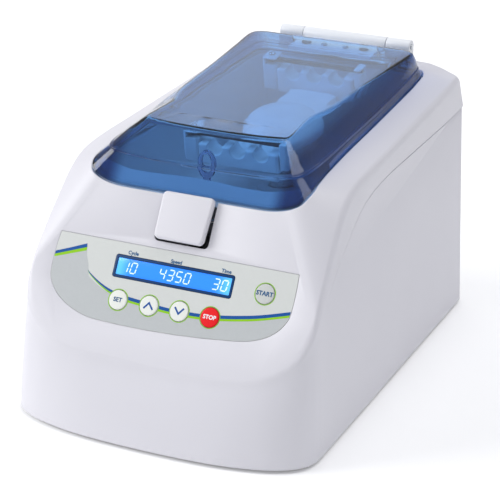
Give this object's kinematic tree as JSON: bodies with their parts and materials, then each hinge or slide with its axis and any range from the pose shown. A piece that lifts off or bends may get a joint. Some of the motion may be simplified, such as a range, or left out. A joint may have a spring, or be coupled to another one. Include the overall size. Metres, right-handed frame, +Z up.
{
  "type": "microtube bead homogenizer",
  "caption": "Bench-top tube homogenizer: tapered plastic housing, hinged translucent lid over a tilting tube carrier, sprung latch and sloping control panel.",
  "frame": {"origin": "middle of the bounding box, on the table under the feet", "axes": "+Z up, front panel towards -Y, +X to the right seen from the front"},
  "size_m": [0.24, 0.3608, 0.2189],
  "materials": {
    "housing": "satin moulded ABS",
    "base_plate": "powder coat",
    "feet": "matt",
    "tub": "satin",
    "gasket": "pale silicone",
    "lid": "clear tinted polycarbonate",
    "hinge": "satin",
    "dark_screws": "blackened",
    "bright_screws": "satin",
    "striker": "clear tinted polycarbonate",
    "pins": "ground",
    "latch": "satin moulded ABS",
    "overlay": "fine matt film",
    "bezel": "printed border",
    "display": "backlit display window",
    "electronics_case": "satin",
    "pale_keys": "fine matt film",
    "stop_key": "fine matt film",
    "start_key": "fine matt film",
    "circuit_board": "solder mask",
    "motor": "semi-gloss",
    "bracket": "machined",
    "posts": "matt",
    "shaft": "ground",
    "counterweight": "oiled",
    "carrier": "satin acetal",
    "bars": "dark plated",
    "clips": "satin acetal",
    "inlet": "satin",
    "rocker": "satin"
  },
  "bodies": {
    "housing": {"main_housing": "housing", "base_plate": "base_plate", "foot_front_left": "feet", "foot_front_right": "feet", "foot_rear_left": "feet", "foot_rear_right": "feet", "chamber_tub": "tub", "lid_gasket": "gasket", "shaft_seal": "gasket", "hinge_knuckle_left": "hinge", "hinge_knuckle_right": "hinge", "hinge_pin": "pins", "latch_pin": "pins", "control_overlay": "overlay", "display_bezel": "bezel", "display_window": "display", "display_module": "electronics_case", "key_board": "circuit_board", "motor_body": "motor", "motor_bracket": "bracket", "isolation_post_1": "posts", "isolation_post_2": "posts", "isolation_post_3": "posts", "isolation_post_4": "posts", "power_inlet": "inlet", "switch_frame": "inlet"},
    "lid": {"lid_cover": "lid", "lid_hinge_leaf": "hinge", "leaf_screw_1": "dark_screws", "leaf_screw_2": "bright_screws", "leaf_screw_3": "bright_screws", "leaf_screw_4": "dark_screws", "lid_striker": "striker"},
    "latch": {"latch_tab": "latch"},
    "set_key": {"set_button": "pale_keys"},
    "up_key": {"up_button": "pale_keys"},
    "down_key": {"down_button": "pale_keys"},
    "stop_key": {"stop_button": "stop_key"},
    "start_key": {"start_button": "start_key"},
    "rocker": {"power_rocker": "rocker"},
    "rotor": {"drive_shaft": "shaft", "counterweight": "counterweight"},
    "carrier": {"carrier_hub": "carrier", "front_rack": "carrier", "rear_rack": "carrier", "front_bar_post": "carrier", "rear_bar_post": "carrier", "front_bar_pin": "pins", "rear_bar_pin": "pins", "front_bar_clip": "clips", "rear_bar_clip": "clips"},
    "front_bar": {"front_retaining_bar": "bars"},
    "rear_bar": {"rear_retaining_bar": "bars"}
  },
  "joints": [
    {"name": "lid_hinge", "type": "hinge", "parent": "housing", "child": "lid", "pos_m": [0, 0.1726, 0.2135], "axis": [-1, 0, 0], "range_deg": [0, 95]},
    {"name": "latch_pivot", "type": "hinge", "parent": "housing", "child": "latch", "pos_m": [0, -0.09747, 0.15069], "axis": [-1, 0, 0], "range_deg": [0, 12], "stiffness_Nm_per_rad": 0.4, "springref_deg": -5.73},
    {"name": "set_press", "type": "slide", "parent": "housing", "child": "set_key", "axis": [0, 0.8643, -0.503], "range_m": [0, 0.0012], "stiffness_N_per_m": 400},
    {"name": "up_press", "type": "slide", "parent": "housing", "child": "up_key", "axis": [0, 0.8643, -0.503], "range_m": [0, 0.0012], "stiffness_N_per_m": 400},
    {"name": "down_press", "type": "slide", "parent": "housing", "child": "down_key", "axis": [0, 0.8643, -0.503], "range_m": [0, 0.0012], "stiffness_N_per_m": 400},
    {"name": "stop_press", "type": "slide", "parent": "housing", "child": "stop_key", "axis": [0, 0.8643, -0.503], "range_m": [0, 0.0012], "stiffness_N_per_m": 400},
    {"name": "start_press", "type": "slide", "parent": "housing", "child": "start_key", "axis": [0, 0.8643, -0.503], "range_m": [0, 0.0012], "stiffness_N_per_m": 400},
    {"name": "rocker_tilt", "type": "hinge", "parent": "housing", "child": "rocker", "pos_m": [-0.02, 0.1763, 0.039], "axis": [1, 0, 0], "range_deg": [0, 8]},
    {"name": "shaft_spin", "type": "hinge", "parent": "housing", "child": "rotor", "pos_m": [0, 0.0506, 0.103], "axis": [0, 0, 1], "continuous": true},
    {"name": "carrier_rock", "type": "hinge", "parent": "housing", "child": "carrier", "pos_m": [0, 0.0506, 0.173], "axis": [1, 0, 0], "range_deg": [-3, 3], "stiffness_Nm_per_rad": 20},
    {"name": "front_bar_pivot", "type": "hinge", "parent": "carrier", "child": "front_bar", "pos_m": [-0.0395, -0.01743, 0.18509], "axis": [0, -0.1392, 0.9903], "range_deg": [0, 50]},
    {"name": "rear_bar_pivot", "type": "hinge", "parent": "carrier", "child": "rear_bar", "pos_m": [-0.0395, 0.11724, 0.20402], "axis": [0, 0.1392, -0.9903], "range_deg": [0, 50]}
  ]
}
